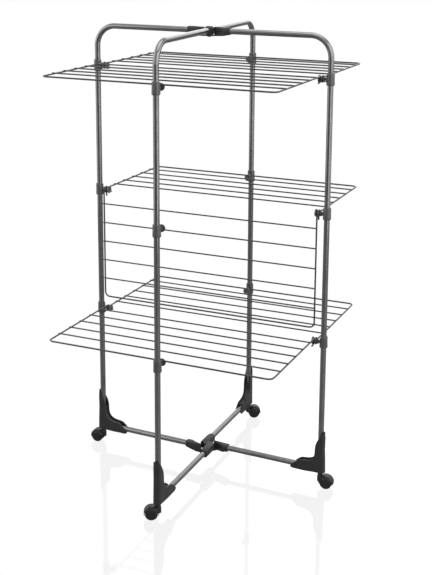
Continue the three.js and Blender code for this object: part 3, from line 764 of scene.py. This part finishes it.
# The tread's inner edge, as far in from the rim and out from the inner face; and its shoulder,
# its groove and the face inside it, as far in from the rim and from the outer face.
wheelBack = [[1, 0], [0, 1.2]]
wheelFace = [[0, 3.4], [1.4, 1.6], [2.4, 1.6], [3.0, 2.2], [3.6, 1.4], [8, 0.3]]


# A tread with round shoulders and a plain face that bulges a little in a shallow groove, turned
# about v.
def wheelPart(sign):
    look = casterLook
    rim, inner = look["wheelRadius"], look["wheelInner"]
    outer = inner + look["wheelWidth"]
    profile = [[pole, inner]]
    profile += [[rim - fromRim, inner + fromFace] for fromRim, fromFace in wheelBack]
    profile += [[rim - fromRim, outer - fromFace] for fromRim, fromFace in wheelFace]
    profile += [[pole, outer]]
    grid = turned(roundedProfile(profile, look["wheelRounding"]), look["sides"])
    return patch(alongAxis(grid, "v") * [1, sign, 1])


# A section from one side of the wheels to the other, flat inside and domed outside as
# sqrt(1 - |v|^6), carried half way round the axle.
def hoodPart():
    look = casterLook
    outer, inner = look["hood"], look["hood"] - look["hoodWall"]
    edge = inner + look["hoodEdge"]
    v = np.linspace(-1, 1, look["hoodColumns"])
    dome = edge + (outer - edge) * np.sqrt(1 - np.abs(v) ** look["hoodPower"])
    side = np.concatenate([v, v[::-1]]) * look["hoodHalf"]
    radius = np.concatenate([dome, np.full(len(v), inner)])
    angles = np.linspace(look["hoodFrom"], look["hoodTo"], look["hoodRows"])
    angles = np.radians(angles)[:, None]
    across, height = radius * np.cos(angles), radius * np.sin(angles)
    return patch(np.stack([across, np.broadcast_to(side, height.shape), height], -1))


# The plate between the wheels: a half disc with a round foot at the axle.
def forkPart():
    look = casterLook
    rim = look["hood"] - look["hoodWall"] + look["forkOverlap"]
    ankle = look["forkFoot"]
    top = arcPoints([0, 0, 0], [rim, 0, 0], [0, 0, rim], 0, 180, look["forkSteps"])
    foot = arcPoints([0, 0, 0], [-ankle, 0, 0], [0, 0, -ankle], 0, 180, look["footSteps"])
    loop = np.concatenate([top, foot])
    rows = [loop + [0, v, 0] for v in (-look["fork"] / 2, look["fork"] / 2)]
    return patch(np.stack(rows))


# A collar on the hood that draws in to the neck, turned about the stem up to the leg.
def neckPart(leg):
    look = casterLook
    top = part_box(f"caster_housing_{leg}")[1].z / millimetre
    neck, collar = look["neck"], look["collar"]
    profile = [[pole, look["wheelRadius"]], [collar, look["wheelRadius"]],
               [collar, look["collarTop"]], [neck, look["neckStart"]], [neck, top], [pole, top]]
    return patch(turned(roundedProfile(profile, look["neckRounding"]), look["neckSides"]))


def caster(leg):
    foot, _ = legs[leg]
    axle = np.array(joints[f"{leg}_wheels_roll"]["pos_m"])
    away = (axle - foot) * [1, 1, 0]
    away /= np.linalg.norm(away)
    parts = [(placeAt(points, place, away), faces) for (points, faces), place in (
        (hoodPart(), axle), (forkPart(), axle), (neckPart(leg), foot))]
    makePiece(f"casterHood_{leg}", parts, f"caster_{leg}", [f"caster_housing_{leg}"],
              casterNylon, bevel=casterLook["bevel"])
    for name, sign in (("one", 1), ("two", -1)):
        points, faces = wheelPart(sign)
        makePiece(f"casterWheel_{leg}_{name}", [(placeAt(points, axle, away), faces)],
                  f"wheels_{leg}", [f"caster_wheel_{leg}_{name}"], casterNylon)
    for node in (f"caster_stem_{leg}", f"caster_axle_{leg}"):
        dressNode(node, zincPlate)


# A CAD node that stays as it is, with a better finish.
def dressNode(node, material):
    piece = frame["nodes"][node]
    piece.data.materials.clear()
    piece.data.materials.append(material)


for leg in legs:
    caster(leg)
for node in ("top_pivot_pin", "base_pivot_pin"):
    dressNode(node, zincPlate)
print("casters made")


# Stage: a pale floor that mirrors a little, white all round, and soft lamps. The floor is
# white to the camera; gloss sees its own pale grey, so dark tubes keep a dark middle.
stageLook = {"floorWidth": 80.0, "floorColour": "8a8a8a", "mirror": 0.15, "mirrorRoughness": 0.05,
             "cameraWhite": 0.98, "cameraGain": 1.06, "glossWhite": 0.05, "worldLight": 0.38}


# One value for camera rays and another for glossy and transmission rays, 0 for the rest.
def rayShare(tree, camera, gloss):
    ray = addNode(tree, "ShaderNodeLightPath").outputs
    mirrored = addNode(tree, "ShaderNodeMath", {"operation": "MAXIMUM"}, {
        0: ray["Is Glossy Ray"], 1: ray["Is Transmission Ray"]})
    dimmed = addNode(tree, "ShaderNodeMath", {"operation": "MULTIPLY"}, {
        0: mirrored.outputs[0], 1: gloss})
    seen = addNode(tree, "ShaderNodeMath", {"operation": "MULTIPLY"}, {
        0: ray["Is Camera Ray"], 1: camera})
    either = addNode(tree, "ShaderNodeMath", {"operation": "MAXIMUM"}, {
        0: seen.outputs[0], 1: dimmed.outputs[0]})
    return either.outputs[0]


def makeFloor():
    look = stageLook
    square = np.array([[[-1, -1, 0], [1, -1, 0]], [[-1, 1, 0], [1, 1, 0]]], float)
    grid = square * look["floorWidth"] / 2
    points, faces = patch(grid, wrap=False, caps=(False, False))
    mesh = bpy.data.meshes.new("paleFloor")
    mesh.from_pydata(points.tolist(), [], faces)
    floor = bpy.data.objects.new("paleFloor", mesh)
    bpy.context.scene.collection.objects.link(floor)
    material = bpy.data.materials.new("paleFloor")
    material.use_nodes = True
    tree = material.node_tree
    tree.nodes.clear()
    share = rayShare(tree, look["cameraWhite"], look["glossWhite"])
    matt = addNode(tree, "ShaderNodeBsdfDiffuse", links={
        "Color": linearColour(look["floorColour"])})
    white = addNode(tree, "ShaderNodeEmission", links={"Strength": look["cameraGain"]})
    body = addNode(tree, "ShaderNodeMixShader", links={
        "Fac": share, 1: matt.outputs[0], 2: white.outputs[0]})
    mirror = addNode(tree, "ShaderNodeBsdfGlossy", links={"Roughness": look["mirrorRoughness"]})
    whole = addNode(tree, "ShaderNodeMixShader", links={
        "Fac": look["mirror"], 1: body.outputs[0], 2: mirror.outputs[0]})
    addNode(tree, "ShaderNodeOutputMaterial", links={"Surface": whole.outputs[0]})
    mesh.materials.append(material)


# White to the camera and to gloss, and a dimmer light on matt surfaces.
def makeWorld():
    world = bpy.data.worlds.new("whiteStudio")
    bpy.context.scene.world = world
    world.use_nodes = True
    tree = world.node_tree
    tree.nodes.clear()
    ray = addNode(tree, "ShaderNodeLightPath").outputs
    matt = addNode(tree, "ShaderNodeMath", {"operation": "MULTIPLY"}, {
        0: ray["Is Diffuse Ray"], 1: stageLook["worldLight"]})
    level = addNode(tree, "ShaderNodeMath", {"operation": "ADD"}, {
        0: rayShare(tree, 1.0, 1.0), 1: matt.outputs[0]})
    backdrop = addNode(tree, "ShaderNodeBackground", links={
        "Color": linearColour("ffffff"), "Strength": level.outputs[0]})
    addNode(tree, "ShaderNodeOutputWorld", links={"Surface": backdrop.outputs[0]})


# Each lamp: where it stands, its width and height in metres, and its power in watts. All face
# the same spot.
lampAim = (0.0, 0.0, 0.8)
lampLooks = {
    "leftBank": {"at": (-2.7, -1.2, 1.7), "size": (3.6, 3.3), "power": 54.0},
    "rightBank": {"at": (2.9, 0.6, 1.7), "size": (3.0, 3.3), "power": 46.0},
    "rightStrip": {"at": (2.2, -1.5, 1.6), "size": (0.7, 3.1), "power": 30.0},
    "overhead": {"at": (0.2, -0.3, 3.8), "size": (2.4, 2.4), "power": 44.0},
    "backPanel": {"at": (-0.3, 4.6, 3.2), "size": (4.2, 2.6), "power": 36.0},
}


def makeLamp(name, look):
    data = bpy.data.lights.new(name, "AREA")
    data.shape = "RECTANGLE"
    data.size, data.size_y = look["size"]
    data.energy = look["power"]
    lamp = bpy.data.objects.new(name, data)
    bpy.context.scene.collection.objects.link(lamp)
    lamp.location = look["at"]
    aim = Vector(lampAim) - Vector(look["at"])
    lamp.rotation_euler = aim.to_track_quat("-Z", "Y").to_euler()


cameraLook = {"azimuth": 23.937, "down": 12.221, "roll": 0.328, "target": (0.0267, 0.0, 1.0653),
              "distance": 3.8263, "lens": 71.60, "shift": -0.2043}


# Stands at a distance from its target along the two angles, then rolls about its view.
def makeCamera():
    look = cameraLook
    turn, down = math.radians(look["azimuth"]), math.radians(look["down"])
    level = math.cos(down)
    back = Vector((math.sin(turn) * level, -math.cos(turn) * level, math.sin(down)))
    data = bpy.data.cameras.new("camera")
    data.lens = look["lens"]
    data.shift_y = look["shift"]
    camera = bpy.data.objects.new("camera", data)
    bpy.context.scene.collection.objects.link(camera)
    camera.location = Vector(look["target"]) + back * look["distance"]
    facing = (-back).to_track_quat("-Z", "Y").to_matrix()
    roll = Matrix.Rotation(math.radians(look["roll"]), 3, "Z")
    camera.rotation_euler = (facing @ roll).to_euler()
    bpy.context.scene.camera = camera


makeFloor()
makeWorld()
for name, look in lampLooks.items():
    makeLamp(name, look)
makeCamera()
bpy.context.scene.view_settings.view_transform = "Standard"
print("stage made")
